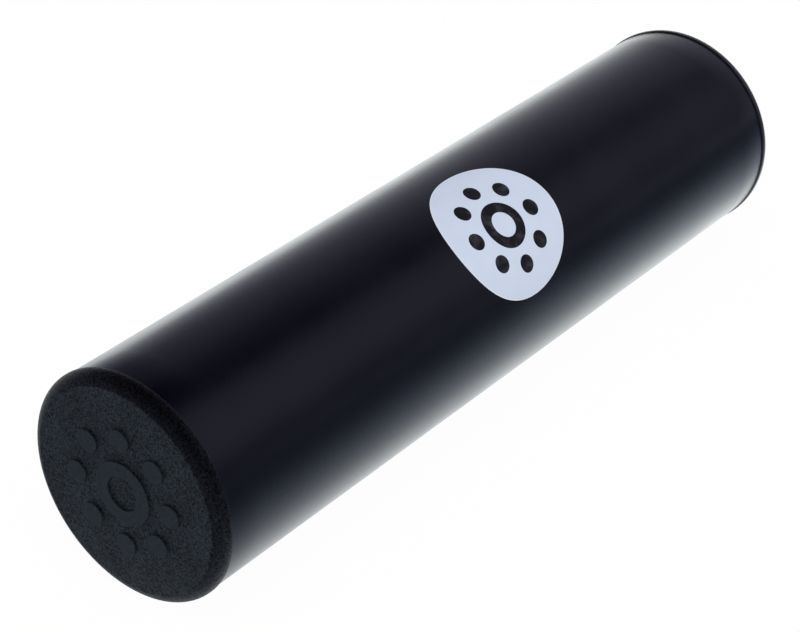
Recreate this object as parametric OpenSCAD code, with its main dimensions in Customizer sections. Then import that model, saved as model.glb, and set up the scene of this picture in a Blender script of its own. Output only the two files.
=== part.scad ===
// Tube shaker: an aluminium tube closed by two pressed-in caps, with loose steel shot inside.
// The shaker lies on its side. X runs along the tube from the front cap to the rear cap, Z is up,
// and the origin is on the surface that it lies on, under the middle of its length. Millimetres.

/* [Tube] */
// Outer diameter of the tube
tube_d = 50; // [44:0.5:60]
// Length of the tube between its cut ends
tube_len = 194; // [150:0.5:260]
// Wall thickness of the tube
tube_wall = 1.5; // [1:0.1:2.5]
// Chamfer on the outer edge of each cut end
tube_chamfer = 0.2; // [0.1:0.05:0.5]

/* [Caps] */
// How far a cap's rim stands out past the tube, all round
rim_proud = 0.25; // [0.1:0.05:0.8]
// Thickness of a cap's flange outside the tube
flange_t = 3.2; // [1.5:0.1:4]
// Straight land on the rim, next to the tube
rim_land = 0.4; // [0.2:0.1:1]
// Width of the rounded shoulder between the rim and the face
shoulder_w = 2.7; // [1:0.1:5]
// Angle on the shoulder's ellipse at which it leaves the face. A larger one makes a sharper border
shoulder_start = 25; // [0:5:50]
// Wall thickness of a cap behind its face
face_wall = 2.4; // [1.6:0.1:3]
// How far a cap's plug reaches into the tube
plug_len = 10; // [7:0.5:16]
// Wall thickness of the plug
plug_wall = 1.8; // [1.2:0.1:3]
// Number of ribs round the plug that grip the bore
rib_count = 3; // [1:1:4]
// Height of a grip rib over the plug's wall
rib_h = 0.4; // [0.2:0.05:0.8]
// Width of a grip rib
rib_w = 0.8; // [0.4:0.1:1.4]
// Lead-in chamfer at the plug's inner end
plug_lead = 0.5; // [0.2:0.1:0.9]

/* [Cap relief] */
// Height of the raised rosette over the cap's face
relief_h = 0.45; // [0.2:0.05:0.8]
// Outer diameter of the rosette's ring
relief_ring_d = 14; // [11:0.5:16]
// Width of the rosette's ring
relief_ring_w = 3.2; // [1.5:0.1:5]
// Number of round pips about the ring
pip_count = 8; // [5:1:9]
// Diameter of a pip
pip_d = 5; // [3:0.25:6]
// Diameter of the circle that the pips' centres lie on
pip_circle_d = 24.4; // [22:0.2:28]

/* [Sticker] */
// Diameter of the round sticker, measured flat
label_d = 33.7; // [20:0.1:40]
// Thickness of the sticker
label_t = 0.15; // [0.1:0.05:0.3]
// Distance of the sticker's centre from the tube's middle, towards the rear cap
label_shift = 1.9; // [-20:0.1:20]
// Angle of the sticker's centre from the top of the tube
label_tilt = 38.7; // [0:0.1:60]

/* [Shot] */
// Diameter of a ball of the shot
shot_d = 4; // [3:0.25:5]
// Clearance between balls, and between a ball and what holds it in
shot_gap = 0.3; // [0.2:0.05:0.4]
// Number of balls in each loose row of the heap's three layers, outermost first
shot_counts = [9, 8, 6]; // [4:1:12]
// Furthest that a row's middle lies from the middle of the heap
heap_shift = 6; // [0:0.5:8]

/* [Hidden] */
// Loose rows of shot in each layer of the heap, outermost first
layer_rows = [10, 8, 6];
row_total = layer_rows[0] + layer_rows[1] + layer_rows[2];

// Fineness of round forms and of a ball, and the overrun of a cut or of a joined piece
$fn = 128;
ball_fn = 48;
arc_steps = 12;
eps = 0.01;

tube_r = tube_d / 2;
bore_r = tube_r - tube_wall;
rim_r = tube_r + rim_proud;
face_r = rim_r - shoulder_w;
plug_r = bore_r - rib_h;
cup_r = plug_r - plug_wall;
axis_z = rim_r;

// Rows of shot lie in layers that follow the bore. Each layer's rows are one pitch apart,
// side by side, and every second layer has a row in its middle plane.
shot_r = shot_d / 2;
pitch = shot_d + shot_gap;
wobble_share = 0.03;
turn_step = 137.5;

// Name of a loose row's node
function row_name(row) = str("shot_row_", row < 10 ? "0" : "", row);

// Layer of a loose row, from 0 at the bore inwards, and its number in that layer
function layer_of(row) = row <= layer_rows[0] ? 0 : row <= layer_rows[0] + layer_rows[1] ? 1 : 2;
function place_in_layer(row) =
    row - (layer_of(row) > 0 ? layer_rows[0] : 0) - (layer_of(row) > 1 ? layer_rows[1] : 0);

// Distance of a layer's balls from the tube's axis, and the angle from one row to the next
function layer_r(layer) = bore_r - shot_gap - shot_r - layer * pitch;
function layer_step(layer) = 2 * asin(pitch / 2 / layer_r(layer));

// Angle of a loose row from the lowest line of the bore. The outermost layer leaves its
// middle place to the keel row.
function row_angle(row) =
    let (layer = layer_of(row), place = place_in_layer(row), rows = layer_rows[layer])
    let (side = place > rows / 2 ? 1 : -1, n = side > 0 ? place - rows / 2 : rows / 2 + 1 - place)
    side * layer_step(layer) * (layer == 0 ? n : n - 1 / 2);

// Place of a row's middle along the tube, and of each ball from that middle
function row_middle(row) = heap_shift * sin(turn_step * row);
function ball_x(i, count, row) =
    row_middle(row) + pitch * (i - (count - 1) / 2 + wobble_share * sin(turn_step * (i + count * row)));

// The keel row fills the bore from one plug to the other
keel_room = tube_len - 2 * plug_len - 2 * shot_gap - shot_d;
keel_count = floor(keel_room / pitch) + 1;

// Section of a cap. X is the distance from the axis and Y the depth into the tube, with the
// tube's cut end at 0.
rib_step = (plug_len - plug_lead) / (rib_count + 1 / 2);

function shoulder() = [
    for (i = [0:arc_steps])
        let (t = shoulder_start + (90 - shoulder_start) * i / arc_steps,
             out = (sin(t) - sin(shoulder_start)) / (1 - sin(shoulder_start)),
             down = 1 - cos(t) / cos(shoulder_start))
        [face_r + shoulder_w * out, -flange_t + (flange_t - rim_land) * down]
];
function rib(n) =
    let (start = n * rib_step)
    [[plug_r, start - rib_w / 2], [bore_r, start - rib_w / 4],
     [bore_r, start + rib_w / 4], [plug_r, start + rib_w / 2]];
function cap_section() = concat(
    [[0, -flange_t]],
    shoulder(),
    [[rim_r, 0], [plug_r, 0]],
    [for (n = [1:rib_count]) each rib(n)],
    [[plug_r, plug_len - plug_lead], [plug_r - plug_lead, plug_len], [cup_r, plug_len]],
    [[cup_r, face_wall - flange_t], [0, face_wall - flange_t]]
);

// Outline of the round sticker as it is seen square on, once it is wrapped on the tube
function sticker_outline(r) = [
    for (i = [0:$fn - 1])
        let (t = 360 * i / $fn, arc = r * sin(t))
        [r * cos(t), tube_r * sin(arc / tube_r * 180 / PI)]
];

// A raised rosette, standing on z = 0: a ring with round pips about it
module rosette(height) {
    difference() {
        translate([0, 0, -eps]) cylinder(h = height + eps, d = relief_ring_d);
        translate([0, 0, -2 * eps])
            cylinder(h = height + 3 * eps, d = relief_ring_d - 2 * relief_ring_w);
    }
    for (i = [0:pip_count - 1])
        rotate([0, 0, 360 * i / pip_count])
            translate([pip_circle_d / 2, 0, -eps]) cylinder(h = height + eps, d = pip_d);
}

// One cap, with its face up and the tube's cut end at z = 0
module cap() {
    mirror([0, 0, 1]) rotate_extrude() polygon(cap_section());
    translate([0, 0, flange_t]) rosette(relief_h);
}

// Puts a shape that is drawn along Z, about the tube's middle, in the lying tube
module lay_down() {
    translate([0, 0, axis_z]) rotate([0, 90, 0]) children();
}

// One ball of a row, at a distance from the tube's axis and an angle from the bore's lowest line
module ball(x, radius, angle) {
    translate([x, radius * sin(angle), axis_z - radius * cos(angle)])
        sphere(d = shot_d, $fn = ball_fn);
}

module tube() {
    outer = [[bore_r, -tube_len / 2], [tube_r - tube_chamfer, -tube_len / 2],
             [tube_r, -tube_len / 2 + tube_chamfer], [tube_r, tube_len / 2 - tube_chamfer],
             [tube_r - tube_chamfer, tube_len / 2], [bore_r, tube_len / 2]];
    color("#1d1d26") lay_down() rotate_extrude() polygon(outer);
}

module front_cap() {
    color("#2b2d31")
        lay_down() rotate([180, 0, 0]) translate([0, 0, tube_len / 2]) cap();
}

module rear_cap() {
    color("#2b2d31") lay_down() translate([0, 0, tube_len / 2]) cap();
}

module label() {
    color("#c5cedd")
        translate([label_shift, 0, axis_z]) rotate([label_tilt, 0, 0]) intersection() {
            rotate([0, 90, 0]) difference() {
                cylinder(h = label_d + 2 * label_t, r = tube_r + label_t, center = true);
                cylinder(h = label_d + 4 * label_t, r = tube_r, center = true);
            }
            linear_extrude(height = tube_r + 2 * label_t) polygon(sticker_outline(label_d / 2));
        }
}

module shot_keel() {
    color("#b9bcc2")
        for (i = [0:keel_count - 1])
            ball(keel_room * (i / (keel_count - 1) - 1 / 2), layer_r(0), 0);
}

module shot_row(row) {
    count = shot_counts[layer_of(row)];
    color("#b9bcc2")
        for (i = [0:count - 1])
            ball(ball_x(i, count, row), layer_r(layer_of(row)), row_angle(row));
}

tube();
front_cap();
rear_cap();
label();
shot_keel();
for (row = [1:row_total])
    shot_row(row);
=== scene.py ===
"""Looks of the tube shaker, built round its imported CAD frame.

The shaker lies on its side on a pale floor. X runs along the tube from the front cap to the rear
cap, Z is up, and the origin is on the floor under the tube's middle. Lengths are in metres.
"""

import logging
import math
from dataclasses import dataclass, replace
from enum import Enum

import bmesh
import bpy
from mathutils import Matrix, Vector


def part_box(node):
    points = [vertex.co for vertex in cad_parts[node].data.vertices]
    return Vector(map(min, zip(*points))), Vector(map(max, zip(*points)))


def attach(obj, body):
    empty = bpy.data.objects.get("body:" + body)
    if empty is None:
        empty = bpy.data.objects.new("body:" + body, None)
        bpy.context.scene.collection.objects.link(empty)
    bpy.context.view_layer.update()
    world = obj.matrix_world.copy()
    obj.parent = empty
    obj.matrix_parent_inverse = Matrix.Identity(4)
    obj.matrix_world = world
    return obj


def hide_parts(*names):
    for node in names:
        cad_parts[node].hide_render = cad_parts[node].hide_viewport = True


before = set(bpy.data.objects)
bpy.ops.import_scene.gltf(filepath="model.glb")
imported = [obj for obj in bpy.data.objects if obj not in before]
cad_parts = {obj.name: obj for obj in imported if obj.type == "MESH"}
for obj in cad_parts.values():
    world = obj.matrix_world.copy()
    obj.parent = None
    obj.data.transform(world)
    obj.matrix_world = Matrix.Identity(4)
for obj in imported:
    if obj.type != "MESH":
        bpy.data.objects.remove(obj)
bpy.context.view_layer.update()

log = logging.getLogger("shaker")

MM = 0.001
# Two places closer than this are the same place
SNAP = 0.001 * MM
# Edges that turn by more than this stay crisp when the faces beside them are smoothed
CRISP_ANGLE = math.radians(38)
# Faces across a rounding, where it catches the light and where it is minor
BRIGHT_STEPS, MINOR_STEPS = 4, 3
# Gloss of a plain plastic surface, on the shader's own scale
PLAIN_GLOSS = 0.5
WHITE = (1.0, 1.0, 1.0, 1.0)
FLAT_MAP = "flat"


class Slot(Enum):
    """Material slots of the record."""

    TUBE = "tube"
    CAP = "cap"
    STICKER = "sticker"
    SHOT = "shot"


class End(Enum):
    """Ends of the tube, by the sign of X."""

    FRONT = -1
    REAR = 1


def linear(hex_colour: str) -> tuple[float, float, float, float]:
    """Turns an sRGB hex colour into the linear colour that shaders take.

    Args:
        hex_colour: a colour such as "#c5cedd".

    Returns:
        Linear red, green and blue, and an alpha of 1.
    """
    channels = (int(hex_colour[i:i + 2], 16) / 255 for i in (1, 3, 5))
    red, green, blue = (
        c / 12.92 if c <= 0.04045 else ((c + 0.055) / 1.055) ** 2.4 for c in channels
    )
    return red, green, blue, 1.0


def add_node(tree: bpy.types.NodeTree, kind: str, inputs: dict | None = None,
             **settings: object) -> bpy.types.Node:
    """Adds a node with its settings, and fills or links its inputs.

    Args:
        tree: node tree that takes the node.
        kind: type name of the node, without the "ShaderNode" that it starts with.
        inputs: what goes into each socket in use, by the socket's name or place: a value, an
            output, or a node whose first output in use is linked.
        settings: attributes of the node.

    Returns:
        The new node.
    """
    node = tree.nodes.new(f"ShaderNode{kind}")
    for name, value in settings.items():
        setattr(node, name, value)
    for key, value in (inputs or {}).items():
        named = [socket for socket in node.inputs if socket.enabled and socket.name == key]
        socket = named[0] if named else node.inputs[key]
        if isinstance(value, bpy.types.Node):
            value = next(output for output in value.outputs if output.enabled)
        if isinstance(value, bpy.types.NodeSocket):
            tree.links.new(value, socket)
        else:
            socket.default_value = value
    return node


def limits(side: str, pair: tuple[float, ...]) -> dict[str, float]:
    """Names a pair of limits for the "From" or the "To" side of a range."""
    return {f"{side} Min": pair[0], f"{side} Max": pair[1]}


def new_material(name: str) -> bpy.types.Material:
    """Makes a material that has no nodes yet.

    Args:
        name: its name.

    Returns:
        The new material.
    """
    material = bpy.data.materials.new(name)
    material.use_nodes = True
    material.node_tree.nodes.clear()
    return material


@dataclass(frozen=True)
class Mottle:
    """A cloudy pattern, by the width of its features and how strongly finer ones show."""

    width: float
    detail: float
    roughness: float = 0.5

    def inputs(self, place: bpy.types.NodeSocket, unit: float = 1.0) -> dict[str, object]:
        """Gives a noise texture's inputs.

        Args:
            place: output that gives the place on the piece.
            unit: length of one unit of that place, in metres.

        Returns:
            The inputs, with the scale at which the features have their real width.
        """
        return {"Vector": place, "Scale": unit / self.width, "Detail": self.detail,
                "Roughness": self.roughness}


@dataclass(frozen=True)
class Finish:
    """A surface finish, made as a procedural material of the same name."""

    name: str

    def material(self) -> bpy.types.Material:
        """Makes the material.

        Returns:
            The new material.
        """
        material = new_material(self.name)
        add_node(material.node_tree, "OutputMaterial",
                 {"Surface": self.shader(material.node_tree)})
        return material

    def shader(self, tree: bpy.types.NodeTree) -> bpy.types.Node:
        """Builds the finish's nodes.

        Args:
            tree: node tree that takes them.

        Returns:
            The shader.
        """
        raise NotImplementedError


@dataclass(frozen=True)
class BlackAnodising(Finish):
    """Aluminium tube, bead blasted and anodised black.

    The oxide gives the eye a blue-black satin that mirrors softly at a grazing angle, and the
    blasting gives that mirror a fine sparkle. Handling has left faint cloudy patches, and the
    sharp cut edges have lost their black in places and show bare metal.
    """

    name: str = "black_anodised_aluminium"
    deep: str = "#02020a"
    worn: str = "#040410"
    bare: str = "#b9babd"
    # How far the metal shows all along a cut edge, and in a chip
    bare_share: tuple[float, float] = (0.03, 0.25)
    half_length: float = 97 * MM
    worn_edge: float = 0.3 * MM
    # The blasted grain is about 0.1 mm, which is under a pixel, so it is drawn coarser
    grain: Mottle = Mottle(0.7 * MM, 2.0, 0.65)
    grain_depth: float = 0.024 * MM
    cloud: Mottle = Mottle(22 * MM, 4.0, 0.55)
    chip: Mottle = Mottle(1.3 * MM, 3.0)
    # Stretches of each pattern over which the coat wears, the gloss changes and chips begin
    wear_range: tuple[float, float] = (0.35, 0.65)
    gloss_range: tuple[float, float] = (0.3, 0.7)
    chip_range: tuple[float, float] = (0.62, 0.72)
    ior: float = 1.6
    roughness: tuple[float, float] = (0.2, 0.26)

    def shader(self, tree: bpy.types.NodeTree) -> bpy.types.Node:
        """Builds the finish's nodes.

        Args:
            tree: node tree that takes them.

        Returns:
            The shader.
        """
        place = add_node(tree, "TexCoord").outputs["Object"]
        cloud = add_node(tree, "TexNoise", self.cloud.inputs(place))
        smudge = add_node(tree, "MapRange", {"Value": cloud, **limits("From", self.wear_range)},
                          interpolation_type="SMOOTHSTEP")
        coat = add_node(tree, "Mix", {
            "Factor": smudge, "A": linear(self.deep), "B": linear(self.worn)}, data_type="RGBA")
        bare = self.bare_edge(tree, place)
        colour = add_node(tree, "Mix", {"Factor": bare, "A": coat, "B": linear(self.bare)},
                          data_type="RGBA")
        roughness = add_node(tree, "MapRange", {
            "Value": cloud, **limits("From", self.gloss_range), **limits("To", self.roughness)})
        grain = add_node(tree, "TexNoise", self.grain.inputs(place))
        bump = add_node(tree, "Bump", {"Distance": self.grain_depth, "Height": grain})
        return add_node(tree, "BsdfPrincipled", {
            "Base Color": colour, "Metallic": bare, "IOR": self.ior, "Roughness": roughness,
            "Normal": bump})

    def bare_edge(self, tree: bpy.types.NodeTree,
                  place: bpy.types.NodeSocket) -> bpy.types.Node:
        """Masks the chips of bare metal along the tube's two cut edges.

        Args:
            tree: node tree that takes the nodes.
            place: output that gives the place on the tube.

        Returns:
            The node that gives 1 on bare metal and 0 on the anodising.
        """
        along = add_node(tree, "SeparateXYZ", {"Vector": place})
        reach = add_node(tree, "Math", {0: along.outputs["X"]}, operation="ABSOLUTE")
        edge_range = (self.half_length - self.worn_edge, self.half_length)
        edge = add_node(tree, "MapRange", {"Value": reach, **limits("From", edge_range)})
        chips = add_node(tree, "TexNoise", self.chip.inputs(place))
        chipped = add_node(tree, "MapRange", {
            "Value": chips, **limits("From", self.chip_range), **limits("To", self.bare_share)})
        return add_node(tree, "Math", {0: edge, 1: chipped}, operation="MULTIPLY")


@dataclass(frozen=True)
class Zone:
    """How one part of the cap's surface looks.

    Colours and gloss are for the bottom of the grain's pits and for its crests; the pits'
    darker colour and lower gloss are painted shade in the grain's hollows. Roughness is for
    the two ends of the rubbed patches.
    """

    colours: tuple[str, str]
    gloss: tuple[float, float]
    roughness: tuple[float, float]
    # Share of the grain's depth that is left
    depth: float


@dataclass(frozen=True)
class SparkErodedPlastic(Finish):
    """Black ABS cap, moulded in a spark-eroded tool.

    The tool leaves the eye a matte charcoal grain on the face, with its pits painted darker and
    less glossy as shade. The rosette's tops were cut with a finer spark and are smoother. The
    shoulder is painted a deeper black with less gloss and shallower grain, as shade where it
    turns away from the light. The land of the rim, which stands proud of the tube, is a dull
    dark grey; on the rear cap a copy of this material paints it lighter and glossier, as
    painted light in the far rim's gap.
    """

    name: str = "spark_eroded_abs"
    # Each zone's pits are painted darker and less glossy than its crests, as shade in the
    # grain's hollows
    face: Zone = Zone(("#05080a", "#1c2426"), (0.08, 1.02), (0.48, 0.62), 1.0)
    top: Zone = Zone(("#05080a", "#1c2426"), (PLAIN_GLOSS, PLAIN_GLOSS), (0.42, 0.42), 0.3)
    # Painted shade: the shoulder's darker colours and lower gloss darken it where it turns away
    # from the light
    shoulder: Zone = Zone(("#000004", "#0a0a12"), (0.0576, 0.7344), (0.5, 0.5), 0.8)
    land: Zone = Zone(("#0b0b11", "#0b0b11"), (0.36, 0.36), (0.42, 0.42), 0.1)
    face_reach: float = 100.2 * MM
    land_reach: float = 97.15 * MM
    relief_height: float = 0.45 * MM
    axis_height: float = 25.25 * MM
    face_radius: float = 22.55 * MM
    # Width of the face's border, over which the face turns into the shoulder's painted shade and
    # shallower grain
    border: float = 0.25 * MM
    # Shares of the relief's height between which its sides turn into its tops
    top_range: tuple[float, float] = (0.5, 0.9)
    # The sparks leave craters of about 0.1 mm, and the clumps of them that show are this wide
    grain: Mottle = Mottle(0.45 * MM, 3.0, 0.7)
    grain_depth: float = 0.09 * MM
    rubbed: Mottle = Mottle(9 * MM, 3.0)
    # Stretches of the patterns from pit to crest, and from least to most rubbed
    grain_range: tuple[float, float] = (0.34, 0.66)
    rubbed_range: tuple[float, float] = (0.3, 0.7)
    ior: float = 1.5

    def shader(self, tree: bpy.types.NodeTree) -> bpy.types.Node:
        """Builds the finish's nodes.

        Args:
            tree: node tree that takes them.

        Returns:
            The shader.
        """
        place = add_node(tree, "TexCoord").outputs["Object"]
        grain = add_node(tree, "TexNoise", self.grain.inputs(place))
        height = add_node(tree, "MapRange", {"Value": grain, **limits("From", self.grain_range)})
        rubbed = add_node(tree, "TexNoise", self.rubbed.inputs(place))
        look = self.zone_look(tree, self.face, height, rubbed)
        zones = (self.top, self.shoulder, self.land)
        for mask, zone in zip(self.masks(tree, place), zones):
            over = self.zone_look(tree, zone, height, rubbed)
            look = {name: add_node(tree, "Mix", {"Factor": mask, "A": base, "B": over[name]},
                                   data_type="RGBA" if name == "Base Color" else "FLOAT")
                    for name, base in look.items()}
        bump = add_node(tree, "Bump", {"Strength": look.pop("Strength"),
                                       "Distance": self.grain_depth, "Height": grain})
        return add_node(tree, "BsdfPrincipled", {**look, "IOR": self.ior, "Normal": bump})

    def zone_look(self, tree: bpy.types.NodeTree, zone: Zone, height: bpy.types.Node,
                  rubbed: bpy.types.Node) -> dict[str, object]:
        """Builds the look of one zone.

        Args:
            tree: node tree that takes the nodes.
            zone: the zone.
            height: node that gives 0 in the grain's pits and 1 on its crests.
            rubbed: node that gives the pattern of the rubbed patches.

        Returns:
            What goes into the shader and the bump, by the input's name.
        """
        # The darker colour and lower gloss towards the pits are painted shade in the grain's
        # hollows
        pit, crest = map(linear, zone.colours)
        return {
            "Base Color": add_node(tree, "Mix", {"Factor": height, "A": pit, "B": crest},
                                   data_type="RGBA"),
            "Specular IOR Level": add_node(tree, "MapRange", {
                "Value": height, **limits("To", zone.gloss)}),
            "Roughness": add_node(tree, "MapRange", {
                "Value": rubbed, **limits("From", self.rubbed_range),
                **limits("To", zone.roughness)}),
            "Strength": zone.depth,
        }

    def masks(self, tree: bpy.types.NodeTree,
              place: bpy.types.NodeSocket) -> tuple[bpy.types.Node, ...]:
        """Masks the parts of the cap that differ from the grained face.

        Args:
            tree: node tree that takes the nodes.
            place: output that gives the place on the cap.

        Returns:
            Nodes that give 1 on the rosette's tops, from the shoulder outwards, and on the land.
        """
        along = add_node(tree, "SeparateXYZ", {"Vector": place})
        reach = add_node(tree, "Math", {0: along.outputs["X"]}, operation="ABSOLUTE")
        top_reach = tuple(self.face_reach + share * self.relief_height
                          for share in self.top_range)
        top = add_node(tree, "MapRange", {"Value": reach, **limits("From", top_reach)})
        across = add_node(tree, "VectorMath", {0: place, 1: (0.0, 1.0, 1.0)},
                          operation="MULTIPLY")
        radius = add_node(tree, "VectorMath", {0: across, 1: (0.0, 0.0, self.axis_height)},
                          operation="DISTANCE")
        border = (self.face_radius, self.face_radius + self.border)
        # Mask of the shoulder's painted shade, from the face's border outwards
        shoulder = add_node(tree, "MapRange", {"Value": radius, **limits("From", border)})
        land = add_node(tree, "Math", {0: reach, 1: self.land_reach}, operation="LESS_THAN")
        return top, shoulder, land


@dataclass(frozen=True)
class PrintedVinyl(Finish):
    """White sticker vinyl, screen printed a pale lavender silver.

    The print gives the eye an even cool tone with a very faint mottle. It stops just short of
    the cut edge, where the whiter vinyl shows as a hairline.
    """

    name: str = "printed_vinyl"
    cool: str = "#c4cee1"
    warm: str = "#cdd5e7"
    core: str = "#e6eaf2"
    diameter: float = 33.7 * MM
    mottle: Mottle = Mottle(5 * MM, 3.0)
    # The print's dots are under 0.1 mm, so their speckle is drawn coarser
    speckle: Mottle = Mottle(0.4 * MM, 1.0)
    mottle_range: tuple[float, float] = (0.3, 0.7)
    hairline: float = 0.25 * MM
    ior: float = 1.45
    roughness: float = 0.5

    def shader(self, tree: bpy.types.NodeTree) -> bpy.types.Node:
        """Builds the finish's nodes.

        Args:
            tree: node tree that takes them.

        Returns:
            The shader.
        """
        flat = add_node(tree, "UVMap", uv_map=FLAT_MAP).outputs["UV"]
        mottle = add_node(tree, "TexNoise", self.mottle.inputs(flat, self.diameter))
        speckle = add_node(tree, "TexNoise", self.speckle.inputs(flat, self.diameter))
        blotch = add_node(tree, "MapRange", {
            "Value": mottle, **limits("From", self.mottle_range)})
        tone = add_node(tree, "Math", {0: speckle, 1: blotch}, operation="MULTIPLY")
        ink = add_node(tree, "Mix", {
            "Factor": tone, "A": linear(self.cool), "B": linear(self.warm)}, data_type="RGBA")
        radius = add_node(tree, "VectorMath", {0: flat, 1: (0.5, 0.5, 0.0)},
                          operation="DISTANCE")
        edge_range = (0.5 - self.hairline / self.diameter, 0.5)
        edge = add_node(tree, "MapRange", {"Value": radius, **limits("From", edge_range)})
        colour = add_node(tree, "Mix", {"Factor": edge, "A": ink, "B": linear(self.core)},
                          data_type="RGBA")
        return add_node(tree, "BsdfPrincipled", {
            "Base Color": colour, "IOR": self.ior, "Roughness": self.roughness})


@dataclass(frozen=True)
class ScreenInk(Finish):
    """Black screen ink on the sticker.

    It gives the eye a soft black with greyer, slightly glossier patches where it lies thin.
    """

    name: str = "black_screen_ink"
    thick: str = "#0e0f14"
    thin: str = "#34333b"
    patch: Mottle = Mottle(2.6 * MM, 4.0, 0.6)
    patch_range: tuple[float, float] = (0.48, 0.72)
    # Where it lies thick, and where it lies thin
    roughness: tuple[float, float] = (0.55, 0.38)

    def shader(self, tree: bpy.types.NodeTree) -> bpy.types.Node:
        """Builds the finish's nodes.

        Args:
            tree: node tree that takes them.

        Returns:
            The shader.
        """
        place = add_node(tree, "TexCoord").outputs["Object"]
        patch = add_node(tree, "TexNoise", self.patch.inputs(place))
        thinness = add_node(tree, "MapRange", {
            "Value": patch, **limits("From", self.patch_range)})
        colour = add_node(tree, "Mix", {
            "Factor": thinness, "A": linear(self.thick), "B": linear(self.thin)},
            data_type="RGBA")
        roughness = add_node(tree, "MapRange", {
            "Value": thinness, **limits("To", self.roughness)})
        return add_node(tree, "BsdfPrincipled", {"Base Color": colour, "Roughness": roughness})


@dataclass(frozen=True)
class TumbledSteel(Finish):
    """Steel shot, ground round and dulled by tumbling in the tube.

    It gives the eye a bright grey metal with soft scuffed patches between mirror-like spots.
    """

    name: str = "tumbled_steel_shot"
    bright: str = "#c6c8ca"
    scuffed: str = "#a3a5a8"
    scuff: Mottle = Mottle(1.6 * MM, 3.0)
    scuff_range: tuple[float, float] = (0.4, 0.62)
    scratch: Mottle = Mottle(0.18 * MM, 2.0)
    scratch_depth: float = 0.004 * MM
    scratch_strength: float = 0.6
    # On the bright spots, and on the scuffed patches
    roughness: tuple[float, float] = (0.16, 0.4)

    def shader(self, tree: bpy.types.NodeTree) -> bpy.types.Node:
        """Builds the finish's nodes.

        Args:
            tree: node tree that takes them.

        Returns:
            The shader.
        """
        place = add_node(tree, "TexCoord").outputs["Object"]
        scuff = add_node(tree, "TexNoise", self.scuff.inputs(place))
        worn = add_node(tree, "MapRange", {"Value": scuff, **limits("From", self.scuff_range)})
        colour = add_node(tree, "Mix", {
            "Factor": worn, "A": linear(self.bright), "B": linear(self.scuffed)},
            data_type="RGBA")
        roughness = add_node(tree, "MapRange", {"Value": worn, **limits("To", self.roughness)})
        scratch = add_node(tree, "TexNoise", self.scratch.inputs(place))
        bump = add_node(tree, "Bump", {
            "Strength": self.scratch_strength, "Distance": self.scratch_depth,
            "Height": scratch})
        return add_node(tree, "BsdfPrincipled", {
            "Base Color": colour, "Metallic": 1.0, "Roughness": roughness, "Normal": bump})


def lathe(bm: bmesh.types.BMesh, section: list[tuple[float, float]], steps: int,
          place: Matrix | None = None, closed: bool = False) -> None:
    """Spins a section about the local Z axis.

    Args:
        bm: mesh that takes the form.
        section: corners of the section in order, each a radius and a height.
        steps: faces round the axis.
        place: where the form's local axes lie in the mesh.
        closed: joins the section's last corner to its first.
    """
    # The form is spun in a mesh of its own, because a full one makes each step of it slow
    form = bmesh.new()
    corners = [form.verts.new((radius, 0.0, height)) for radius, height in section]
    pairs = list(zip(corners, corners[1:] + corners[:1]))
    edges = [form.edges.new(pair) for pair in (pairs if closed else pairs[:-1])]
    bmesh.ops.spin(form, geom=corners + edges, cent=(0.0, 0.0, 0.0), axis=(0.0, 0.0, 1.0),
                   angle=math.tau, steps=steps, use_merge=True)
    on_axis = [v for v in form.verts if math.hypot(v.co.x, v.co.y) < SNAP]
    bmesh.ops.remove_doubles(form, verts=on_axis, dist=SNAP)
    form.transform(place or Matrix.Identity(4))
    mesh = bpy.data.meshes.new("form")
    form.to_mesh(mesh)
    form.free()
    bm.from_mesh(mesh)
    bpy.data.meshes.remove(mesh)


def round_hoops(bm: bmesh.types.BMesh, hoops: list[tuple[float, float]], offset: float,
                segments: int) -> None:
    """Rounds rings of edges about the local Z axis.

    Args:
        bm: mesh that holds the rings.
        hoops: radius and height of each ring.
        offset: how far the rounding reaches from the ring.
        segments: faces across the rounding.
    """
    def lies_on(vert: bmesh.types.BMVert, radius: float, height: float) -> bool:
        """Tells whether a vertex lies on a ring."""
        across = math.hypot(vert.co.x, vert.co.y)
        return abs(across - radius) < SNAP and abs(vert.co.z - height) < SNAP

    edges = [edge for edge in bm.edges
             if any(all(lies_on(v, *hoop) for v in edge.verts) for hoop in hoops)]
    bmesh.ops.bevel(bm, geom=edges, offset=offset, offset_type="OFFSET", segments=segments,
                    profile=0.5, affect="EDGES", material=-1, clamp_overlap=True)


def arc(centre: tuple[float, float], radii: tuple[float, float], start: float, turn: float,
        steps: int) -> list[tuple[float, float]]:
    """Gives points on an upright ellipse's arc.

    Args:
        centre: the ellipse's centre.
        radii: its half-width and half-height.
        start: angle of the first point, in radians from the first axis.
        turn: angle to the last point.
        steps: number of steps between the two.

    Returns:
        The points, in order, with both ends.
    """
    angles = (start + turn * i / steps for i in range(steps + 1))
    return [(centre[0] + radii[0] * math.cos(a), centre[1] + radii[1] * math.sin(a))
            for a in angles]


def make_piece(name: str, bm: bmesh.types.BMesh, material: bpy.types.Material, body: str,
               replaced: tuple[str, ...] = ()) -> None:
    """Turns a mesh into a finished piece that rides on a body.

    Args:
        name: name of the piece.
        bm: its mesh in the shaker's axes, which is freed.
        material: its finish.
        body: CAD body that it moves with.
        replaced: CAD nodes that it stands for.
    """
    bmesh.ops.recalc_face_normals(bm, faces=bm.faces)
    mesh = bpy.data.meshes.new(name)
    bm.to_mesh(mesh)
    bm.free()
    mesh.shade_smooth()
    mesh.set_sharp_from_angle(angle=CRISP_ANGLE)
    mesh.materials.append(material)
    piece = bpy.data.objects.new(name, mesh)
    bpy.context.scene.collection.objects.link(piece)
    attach(piece, body)
    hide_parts(*replaced)
    log.info("%s: %d faces, on %s", name, len(mesh.polygons), body)


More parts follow.
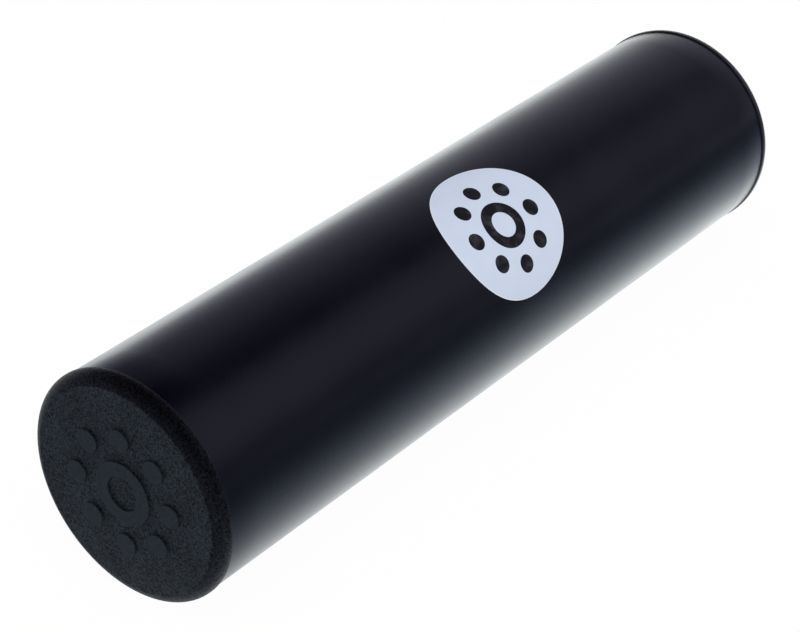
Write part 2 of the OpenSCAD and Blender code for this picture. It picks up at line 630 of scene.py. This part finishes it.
@dataclass(frozen=True)
class Shell:
    """Outer sizes of the shaker, as the CAD frame has them."""

    half_length: float
    relief_reach: float
    plug_reach: float
    tube_radius: float = 25 * MM
    rim_radius: float = 25.25 * MM
    flange: float = 3.2 * MM

    @classmethod
    def from_frame(cls) -> "Shell":
        """Reads the lengths from the boxes of the tube and the rear cap."""
        cap_low, cap_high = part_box("rear_cap")
        return cls(half_length=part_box("tube")[1].x, relief_reach=cap_high.x,
                   plug_reach=cap_low.x)

    @property
    def axis_height(self) -> float:
        """Height of the tube's axis, as the shaker lies on its caps' rims."""
        return self.rim_radius

    @property
    def face_reach(self) -> float:
        """Distance from the tube's middle to a cap's face."""
        return self.half_length + self.flange

    @property
    def relief(self) -> float:
        """Height of the rosette's tops over the face."""
        return self.relief_reach - self.face_reach

    def lay_down(self, end: End = End.REAR, along: float = 0.0) -> Matrix:
        """Gives the place of a form that is drawn along its local Z axis.

        Args:
            end: end of the tube that the local Z axis points to.
            along: distance from the tube's middle to the form's origin, towards that end.

        Returns:
            The transform from the form's axes to the shaker's.
        """
        turn = Matrix.Rotation(end.value * math.pi / 2, 4, "Y")
        return Matrix.Translation((end.value * along, 0.0, self.axis_height)) @ turn


@dataclass(frozen=True)
class Tube:
    """The thin-walled aluminium tube."""

    shell: Shell
    wall: float = 1.5 * MM
    outer_round: float = 0.08 * MM
    bore_round: float = 0.1 * MM
    around: int = 256
    along: int = 24

    def build(self) -> bmesh.types.BMesh:
        """Builds the tube.

        Returns:
            Its mesh, in the shaker's axes.
        """
        outer, reach = self.shell.tube_radius, self.shell.half_length
        bore = outer - self.wall
        wall_line = [(outer, reach * (2 * i / self.along - 1)) for i in range(self.along + 1)]
        bm = bmesh.new()
        lathe(bm, wall_line + [(bore, reach), (bore, -reach)], self.around, closed=True)
        round_hoops(bm, [(outer, reach), (outer, -reach)], self.outer_round, BRIGHT_STEPS)
        round_hoops(bm, [(bore, reach), (bore, -reach)], self.bore_round, MINOR_STEPS)
        bm.transform(self.shell.lay_down())
        return bm

    def dress(self) -> None:
        """Makes the finished tube in place of its CAD node."""
        finish = BlackAnodising(half_length=self.shell.half_length).material()
        make_piece("tube_anodised", self.build(), finish, "shell", ("tube",))


@dataclass(frozen=True)
class Rosette:
    """A ring with round pips about it, raised on the caps and printed on the sticker."""

    ring_outer: float = 7.0 * MM
    ring_inner: float = 3.8 * MM
    pip_radius: float = 2.5 * MM
    pip_circle: float = 12.2 * MM
    pips: int = 8

    def scaled(self, share: float) -> "Rosette":
        """Gives the same rosette, larger or smaller."""
        return Rosette(self.ring_outer * share, self.ring_inner * share,
                       self.pip_radius * share, self.pip_circle * share, self.pips)

    def pip_places(self) -> list[Matrix]:
        """Gives the place of each pip about the rosette's middle."""
        return [Matrix.Rotation(math.tau * i / self.pips, 4, "Z")
                @ Matrix.Translation((self.pip_circle, 0.0, 0.0)) for i in range(self.pips)]


@dataclass(frozen=True)
class Cap:
    """A moulded cap: flange and rosette outside the tube, ribbed plug inside it.

    The cap is drawn face up about its local Z axis, with the tube's cut end at a height of 0.
    """

    shell: Shell
    end: End
    finish: bpy.types.Material
    rosette: Rosette = Rosette()
    rim_land: float = 0.4 * MM
    shoulder: float = 2.7 * MM
    # The shoulder leaves the face at a slope, from this angle on its ellipse, so a border shows
    shoulder_start: float = math.radians(25)
    shoulder_steps: int = 16
    face_wall: float = 2.4 * MM
    plug_radius: float = 23.1 * MM
    plug_wall: float = 1.8 * MM
    plug_lead: float = 0.5 * MM
    bore_radius: float = 23.5 * MM
    ribs: int = 3
    rib_width: float = 0.8 * MM
    relief_round: float = 0.13 * MM
    relief_foot: float = 0.1 * MM
    rim_round: float = 0.03 * MM
    # Flat strip that keeps each curve's shading off the face
    collar: float = 0.12 * MM
    around: int = 256
    pip_around: int = 64

    def outer_section(self) -> list[tuple[float, float]]:
        """Draws the section from the face's outer strip over the rim and plug to the axis.

        Returns:
            Corners, each a radius and a height.
        """
        rim, flange = self.shell.rim_radius, self.shell.flange
        plug = self.shell.half_length - self.shell.plug_reach
        cup = self.plug_radius - self.plug_wall
        width = self.shoulder / (1 - math.sin(self.shoulder_start))
        height = (flange - self.rim_land) / math.cos(self.shoulder_start)
        turn = math.pi / 2 - self.shoulder_start
        curve = arc((rim - width, self.rim_land), (width, height), turn, -turn,
                    self.shoulder_steps)
        ribs = [corner for n in range(self.ribs) for corner in self.rib(n, plug)]
        return [
            (rim - self.shoulder - self.collar, flange), *curve, (rim, 0.0),
            (self.plug_radius, 0.0), *ribs, (self.plug_radius, self.plug_lead - plug),
            (self.plug_radius - self.plug_lead, -plug), (cup, -plug),
            (cup, flange - self.face_wall), (0.0, flange - self.face_wall),
        ]

    def rib(self, n: int, plug: float) -> list[tuple[float, float]]:
        """Draws the section of one grip rib.

        Args:
            n: number of the rib, from 0 at the flange.
            plug: length of the plug.

        Returns:
            The rib's four corners, from its flange side.
        """
        middle = -(n + 1) * (plug - self.plug_lead) / (self.ribs + 0.5)
        foot, top = self.rib_width / 2, self.rib_width / 4
        return [(self.plug_radius, middle + foot), (self.bore_radius, middle + top),
                (self.bore_radius, middle - top), (self.plug_radius, middle - foot)]

    def ring_section(self) -> list[tuple[float, float]]:
        """Draws the section from the axis over the rosette's ring to the face.

        Returns:
            Corners, each a radius and a height.
        """
        low = self.shell.flange
        high = low + self.shell.relief
        inner, outer = self.rosette.ring_inner, self.rosette.ring_outer
        return [
            (0.0, low), (inner - self.relief_foot - self.collar, low), (inner, low),
            (inner, high), (inner + self.relief_round + self.collar, high),
            (outer - self.relief_round - self.collar, high), (outer, high), (outer, low),
            (outer + self.relief_foot + self.collar, low),
        ]

    def pip_section(self) -> list[tuple[float, float]]:
        """Draws the section of one pip, from its middle to the strip about its foot.

        Returns:
            Corners, each a radius and a height.
        """
        radius, low = self.rosette.pip_radius, self.shell.flange
        high = low + self.shell.relief
        crown = arc((radius - self.relief_round, high - self.relief_round),
                    (self.relief_round, self.relief_round), math.pi / 2, -math.pi / 2,
                    BRIGHT_STEPS)
        foot = arc((radius + self.relief_foot, low + self.relief_foot),
                   (self.relief_foot, self.relief_foot), math.pi, math.pi / 2, MINOR_STEPS)
        return [
            (0.0, high), (radius - self.relief_round - self.collar, high), *crown, *foot,
            (radius + self.relief_foot + self.collar, low),
        ]

    def build(self) -> bmesh.types.BMesh:
        """Builds the cap as one closed skin.

        Returns:
            Its mesh, in the shaker's axes.
        """
        low = self.shell.flange
        high = low + self.shell.relief
        inner, outer = self.rosette.ring_inner, self.rosette.ring_outer
        bm = bmesh.new()
        lathe(bm, self.outer_section(), self.around)
        lathe(bm, self.ring_section(), self.around)
        round_hoops(bm, [(inner, high), (outer, high)], self.relief_round, BRIGHT_STEPS)
        round_hoops(bm, [(inner, low), (outer, low)], self.relief_foot, MINOR_STEPS)
        round_hoops(bm, [(self.shell.rim_radius, 0.0)], self.rim_round, MINOR_STEPS)
        for place in self.rosette.pip_places():
            lathe(bm, self.pip_section(), self.pip_around, place)
        # The flat face is what is left open between the shoulder, the ring and the pips
        bmesh.ops.triangle_fill(bm, use_beauty=True,
                                edges=[edge for edge in bm.edges if edge.is_boundary])
        bm.transform(self.shell.lay_down(self.end, self.shell.half_length))
        return bm

    def dress(self) -> None:
        """Makes the finished cap in place of its CAD node."""
        node = f"{self.end.name.lower()}_cap"
        make_piece(f"{node}_moulding", self.build(), self.finish, "shell", (node,))


@dataclass(frozen=True)
class Sticker:
    """The round sticker: printed vinyl, wrapped on the tube, with a black rosette on it."""

    shell: Shell
    diameter: float = 33.7 * MM
    thickness: float = 0.15 * MM
    edge_round: float = 0.05 * MM
    shift: float = 1.9 * MM
    tilt: float = math.radians(38.7)
    ink_thickness: float = 0.018 * MM
    ink_sink: float = 0.004 * MM
    print_share: float = 0.8
    around: int = 160
    pip_around: int = 64
    # Rings of faces along each millimetre of radius, so that a wrapped form bends smoothly
    rings_per_mm: float = 1.5

    def steps(self, start: float, stop: float) -> list[float]:
        """Divides a stretch of radius finely enough to wrap.

        Args:
            start: first radius.
            stop: last radius.

        Returns:
            Radii from the first to the last.
        """
        count = max(1, round(abs(stop - start) / MM * self.rings_per_mm))
        return [start + (stop - start) * i / count for i in range(count + 1)]

    def disc_section(self, radius: float, base: float, height: float,
                     edge: float) -> list[tuple[float, float]]:
        """Draws the section of a thin disc with a rounded upper edge.

        Args:
            radius: radius of the disc.
            base: height of its underside.
            height: its thickness.
            edge: radius of its upper edge's rounding.

        Returns:
            Corners, each a radius and a height, from the axis underneath to the axis on top.
        """
        under = [(r, base) for r in self.steps(0.0, radius)]
        corner = arc((radius - edge, base + height - edge), (edge, edge), 0.0, math.pi / 2,
                     MINOR_STEPS)
        over = [(r, base + height) for r in self.steps(radius - edge, 0.0)[1:]]
        return under + corner + over

    def ring_section(self, rosette: Rosette, base: float,
                     height: float) -> list[tuple[float, float]]:
        """Draws the closed section of the printed ring.

        Args:
            rosette: sizes of the print.
            base: height of its underside.
            height: its thickness.

        Returns:
            Corners, each a radius and a height.
        """
        radii = self.steps(rosette.ring_inner, rosette.ring_outer)
        return [(r, base) for r in radii] + [(r, base + height) for r in reversed(radii)]

    def wrap(self, bm: bmesh.types.BMesh) -> None:
        """Bends a flat form round the tube, at the sticker's place.

        Args:
            bm: the form, with X along the tube and its height over the tube's surface in Z.
        """
        radius = self.shell.tube_radius
        for vert in bm.verts:
            along, across, height = vert.co
            turn = self.tilt - across / radius
            vert.co = (self.shift + along, -(radius + height) * math.sin(turn),
                       self.shell.axis_height + (radius + height) * math.cos(turn))

    def build_vinyl(self) -> bmesh.types.BMesh:
        """Builds the sticker with a map of its flat shape.

        Returns:
            Its mesh, in the shaker's axes.
        """
        bm = bmesh.new()
        lathe(bm, self.disc_section(self.diameter / 2, 0.0, self.thickness, self.edge_round),
              self.around)
        flat = bm.loops.layers.uv.new(FLAT_MAP)
        for face in bm.faces:
            for loop in face.loops:
                loop[flat].uv = loop.vert.co.xy / self.diameter + Vector((0.5, 0.5))
        self.wrap(bm)
        return bm

    def build_print(self) -> bmesh.types.BMesh:
        """Builds the rosette of ink that lies on the sticker.

        Returns:
            Its mesh, in the shaker's axes.
        """
        rosette = Rosette().scaled(self.print_share)
        base = self.thickness - self.ink_sink
        height = self.ink_sink + self.ink_thickness
        bm = bmesh.new()
        lathe(bm, self.ring_section(rosette, base, height), self.around, closed=True)
        for place in rosette.pip_places():
            pip = self.disc_section(rosette.pip_radius, base, height, self.ink_thickness / 2)
            lathe(bm, pip, self.pip_around, place)
        self.wrap(bm)
        return bm

    def dress(self) -> None:
        """Makes the finished sticker and its print in place of the CAD node."""
        vinyl, ink = PrintedVinyl(diameter=self.diameter).material(), ScreenInk().material()
        make_piece("label_vinyl", self.build_vinyl(), vinyl, "shell", ("label",))
        make_piece("label_print", self.build_print(), ink, "shell")


@dataclass(frozen=True)
class Shot:
    """The loose steel balls, which keep their CAD shape."""

    prefix: str = "shot_"

    def dress(self) -> None:
        """Gives every ball its finish."""
        steel = TumbledSteel().material()
        for name, node in sorted(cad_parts.items()):
            if name.startswith(self.prefix):
                for slot in node.material_slots:
                    slot.material = steel
                log.info("%s: keeps its CAD shape", name)


@dataclass(frozen=True)
class Lamp:
    """A soft square lamp that points at the shaker."""

    name: str
    direction: tuple[float, float, float]
    distance: float
    side: float
    watts: float

    def place(self, target: Vector) -> None:
        """Sets the lamp up.

        Args:
            target: what it points at.
        """
        data = bpy.data.lights.new(self.name, "AREA")
        data.shape = "SQUARE"
        data.size = self.side
        data.energy = self.watts
        lamp = bpy.data.objects.new(self.name, data)
        towards = Vector(self.direction).normalized()
        lamp.location = target + towards * self.distance
        lamp.rotation_euler = towards.to_track_quat("Z", "Y").to_euler()
        # A cross-polarised lamp: it brings out colour and leaves no glare on black gloss
        lamp.visible_glossy = False
        bpy.context.scene.collection.objects.link(lamp)


@dataclass(frozen=True)
class Floor:
    """The pale floor, which glows white under and behind the shaker and keeps its shadow.

    What the camera sees of it is white. In a glossy surface it fades towards the camera's side,
    as a light table does outside its lit area.
    """

    shell: Shell
    half_side: float = 1.5
    colour: str = "#fafafa"
    white_share: float = 0.975
    # The lit area's glow beside the front cap and the rear cap, and its colour
    near_glow: tuple[float, float] = (1.15, 1.6)
    near_colour: str = "#f6fcff"
    # The glow outside it, ahead of the front cap and beside the tube, and its colour
    far_glow: tuple[float, float] = (0.36, 0.145)
    far_colour: str = "#cee0ff"
    lit_ahead: float = 96 * MM
    dim_ahead: float = 125 * MM
    fade_ahead: float = 7 * MM
    fade_beside: float = 24 * MM

    def build(self) -> None:
        bm = bmesh.new()
        bmesh.ops.create_grid(bm, x_segments=1, y_segments=1, size=self.half_side)
        mesh = bpy.data.meshes.new("floor")
        bm.to_mesh(mesh)
        bm.free()
        mesh.materials.append(self.material())
        floor = bpy.data.objects.new("floor", mesh)
        bpy.context.scene.collection.objects.link(floor)

    def material(self) -> bpy.types.Material:
        """Makes the floor's material.

        Returns:
            The new material.
        """
        material = new_material("pale_floor")
        # The glow is for what the rays below see, so no lamp is sampled from it
        material.cycles.emission_sampling = "NONE"
        tree = material.node_tree
        path = add_node(tree, "LightPath").outputs
        seen = add_node(tree, "Math", {
            0: path["Is Camera Ray"], 1: path["Is Transmission Ray"]}, operation="MAXIMUM")
        lit = add_node(tree, "Math", {0: seen, 1: self.white_share}, operation="MULTIPLY")
        share = add_node(tree, "Math", {0: lit, 1: path["Is Glossy Ray"]}, operation="MAXIMUM")
        glow = add_node(tree, "Mix", {"Factor": seen, "A": self.glow(tree), "B": WHITE},
                        data_type="RGBA")
        white = add_node(tree, "Emission", {"Color": glow})
        matte = add_node(tree, "BsdfDiffuse", {"Color": linear(self.colour)})
        surface = add_node(tree, "MixShader", {0: share, 1: matte, 2: white})
        add_node(tree, "OutputMaterial", {"Surface": surface})
        return material

    def glow(self, tree: bpy.types.NodeTree) -> bpy.types.Node:
        """Builds the glow that glossy surfaces see, by the distance in front of the shaker.

        Args:
            tree: node tree that takes the nodes.

        Returns:
            The node that gives the glow's colour, with its strength in it.
        """
        place = add_node(tree, "TexCoord").outputs["Object"]
        axes = add_node(tree, "SeparateXYZ", {"Vector": place}).outputs
        ahead = add_node(tree, "Math", {
            0: axes["X"], 1: 1 / self.fade_ahead, 2: self.lit_ahead / self.fade_ahead},
            operation="MULTIPLY_ADD")
        beside = add_node(tree, "Math", {
            0: axes["Y"], 1: 1 / self.fade_beside,
            2: self.shell.tube_radius / self.fade_beside}, operation="MULTIPLY_ADD")
        least = add_node(tree, "Math", {0: ahead, 1: beside}, operation="MINIMUM")
        inside = add_node(tree, "Math", {0: least, 1: 0.0}, operation="MINIMUM")
        left = add_node(tree, "Math", {0: inside}, operation="EXPONENT")
        reach = self.shell.half_length
        lit = add_node(tree, "MapRange", {
            "Value": axes["X"], **limits("From", (-reach, reach)),
            **limits("To", self.near_glow)})
        dim = add_node(tree, "MapRange", {
            "Value": axes["X"], **limits("From", (-self.dim_ahead, -reach)),
            **limits("To", self.far_glow)})
        level = add_node(tree, "Mix", {"Factor": left, "A": dim, "B": lit}, data_type="FLOAT")
        colour = add_node(tree, "Mix", {
            "Factor": left, "A": linear(self.far_colour), "B": linear(self.near_colour)},
            data_type="RGBA")
        return add_node(tree, "VectorMath", {0: colour, "Scale": level}, operation="SCALE")


@dataclass(frozen=True)
class Patch:
    """A soft bright patch of the studio, which shows only in glossy surfaces."""

    direction: tuple[float, float, float]
    level: float
    # Cosine of the angle from the patch's middle to where it ends
    edge: float


@dataclass(frozen=True)
class Dome:
    """The studio round the shaker: a white backdrop low behind it, and a dark rest.

    The camera sees it white everywhere, and matte surfaces get an even light from it.
    """

    even: float = 0.58
    shade: str = "#dde0ff"
    dark: float = 0.0024
    # Level of the backdrop low down, at the sides and straight behind, and where it changes
    horizon: tuple[float, float] = (0.2, 0.93)
    side_range: tuple[float, float] = (-0.81, 0.6)
    glow_top: float = 0.68
    glow_fall: float = 1.9
    behind: tuple[float, float, float] = (0.107, 0.994, 0.0)
    # Share of the backdrop's light on the camera's side and on the other, and where it changes
    ahead_share: tuple[float, float] = (0.25, 1.0)
    ahead_range: tuple[float, float] = (-0.4, 0.3)
    # How soon the light's cool shade turns white as it gets brighter
    whitening: float = 2.0
    patches: tuple[Patch, ...] = (
        Patch((0.479, -0.594, 0.646), 0.32, 0.83),
        Patch((0.937, 0.234, 0.26), 0.34, 0.76),
        Patch((0.42, 0.57, 0.7), 0.1, 0.92),
    )

    def build(self) -> None:
        """Makes the world and gives it to the scene."""
        world = bpy.data.worlds.new("studio")
        world.use_nodes = True
        # Only rays that reach the world tell what they are, so it isn't sampled as a lamp
        world.cycles.sampling_method = "NONE"
        tree = world.node_tree
        tree.nodes.clear()
        path = add_node(tree, "LightPath").outputs
        seen = add_node(tree, "Math", {
            0: path["Is Camera Ray"], 1: path["Is Transmission Ray"]}, operation="MAXIMUM")
        around = add_node(tree, "Mix", {
            "Factor": path["Is Diffuse Ray"], "A": self.radiance(tree), "B": self.even},
            data_type="FLOAT")
        strength = add_node(tree, "Mix", {"Factor": seen, "A": around, "B": 1.0},
                            data_type="FLOAT")
        # The backdrop and the even light are white, and a mirrored dark of the room is cooler
        bright = add_node(tree, "Math", {0: strength, 1: self.whitening}, operation="POWER")
        white = add_node(tree, "Math", {0: bright, 1: path["Is Diffuse Ray"]},
                         operation="MAXIMUM")
        colour = add_node(tree, "Mix", {"Factor": white, "A": linear(self.shade), "B": WHITE},
                          data_type="RGBA")
        sky = add_node(tree, "Background", {"Color": colour, "Strength": strength})
        add_node(tree, "OutputWorld", {"Surface": sky})
        bpy.context.scene.world = world

    def radiance(self, tree: bpy.types.NodeTree) -> bpy.types.Node:
        """Builds the brightness of the studio in each direction.

        Args:
            tree: node tree that takes the nodes.

        Returns:
            The node that gives the brightness.
        """
        look = add_node(tree, "TexCoord").outputs["Generated"]
        axes = add_node(tree, "SeparateXYZ", {"Vector": look}).outputs
        depth = add_node(tree, "MapRange", {
            "Value": axes["Z"], **limits("From", (0.0, self.glow_top)),
            **limits("To", (1.0, 0.0))})
        low = add_node(tree, "Math", {0: depth, 1: self.glow_fall}, operation="POWER")
        facing = add_node(tree, "VectorMath", {0: look, 1: self.behind},
                          operation="DOT_PRODUCT")
        edge = add_node(tree, "MapRange", {
            "Value": facing, **limits("From", self.side_range), **limits("To", self.horizon)},
            interpolation_type="SMOOTHSTEP")
        ahead = add_node(tree, "MapRange", {
            "Value": axes["X"], **limits("From", self.ahead_range),
            **limits("To", self.ahead_share)}, interpolation_type="SMOOTHSTEP")
        lit = add_node(tree, "Math", {0: low, 1: ahead}, operation="MULTIPLY")
        total = add_node(tree, "Math", {0: lit, 1: edge, 2: self.dark},
                         operation="MULTIPLY_ADD")
        for patch in self.patches:
            towards = add_node(tree, "VectorMath", {
                0: look, 1: Vector(patch.direction).normalized()}, operation="DOT_PRODUCT")
            spot = add_node(tree, "MapRange", {
                "Value": towards, **limits("From", (patch.edge, 1.0)),
                **limits("To", (0.0, patch.level))}, interpolation_type="SMOOTHSTEP")
            total = add_node(tree, "Math", {0: total, 1: spot}, operation="ADD")
        return total


@dataclass(frozen=True)
class Viewpoint:
    """The photograph's camera: a long lens that looks down along the tube."""

    place: tuple[float, float, float] = (-353.36 * MM, -265.77 * MM, 287.03 * MM)
    heading: float = math.radians(38.073)
    dip: float = math.radians(31.431)
    lens_mm: float = 104.54
    sensor_mm: float = 36.0

    def build(self) -> None:
        """Makes the camera and gives it to the scene."""
        data = bpy.data.cameras.new("camera")
        data.lens = self.lens_mm
        data.sensor_width = self.sensor_mm
        data.clip_start = 10 * MM
        camera = bpy.data.objects.new("camera", data)
        camera.location = self.place
        camera.rotation_euler = (math.pi / 2 - self.dip, 0.0, self.heading - math.pi / 2)
        bpy.context.scene.collection.objects.link(camera)
        bpy.context.scene.camera = camera


KEY_LAMPS = (
    Lamp("key", direction=(-0.3, -0.3, 0.9), distance=1.2, side=0.8, watts=6.2),
    Lamp("side", direction=(0.0, -0.95, 0.3), distance=1.2, side=0.8, watts=2.2),
)


def set_up_studio(shell: Shell) -> None:
    """Makes the camera, floor, lamps and surroundings.

    Args:
        shell: sizes of the shaker.
    """
    bpy.context.scene.view_settings.view_transform = "Standard"
    Viewpoint().build()
    Floor(shell).build()
    Dome().build()
    for lamp in KEY_LAMPS:
        lamp.place(Vector((0.0, 0.0, shell.axis_height)))


def main() -> None:
    """Builds the shaker's looks and the studio round it."""
    logging.basicConfig(level=logging.INFO, format="%(name)s: %(message)s")
    shell = Shell.from_frame()
    set_up_studio(shell)
    Tube(shell).dress()
    fresh = SparkErodedPlastic(face_reach=shell.face_reach, relief_height=shell.relief,
                               axis_height=shell.axis_height)
    # The rear cap's rim is painted a lighter grey and made glossier and smoother: painted light
    # that lifts the dark of the gap at the far rim
    painted_rim_light = Zone(("#1c1d22", "#1c1d22"), gloss=(0.85, 0.85), roughness=(0.24, 0.24), depth=0.1)
    worn = replace(fresh, name="spark_eroded_abs_painted_rim_light", land_reach=97.9 * MM, land=painted_rim_light)
    Cap(shell, End.FRONT, fresh.material()).dress()
    Cap(shell, End.REAR, worn.material()).dress()
    Sticker(shell).dress()
    Shot().dress()


if __name__ == "__main__":
    main()
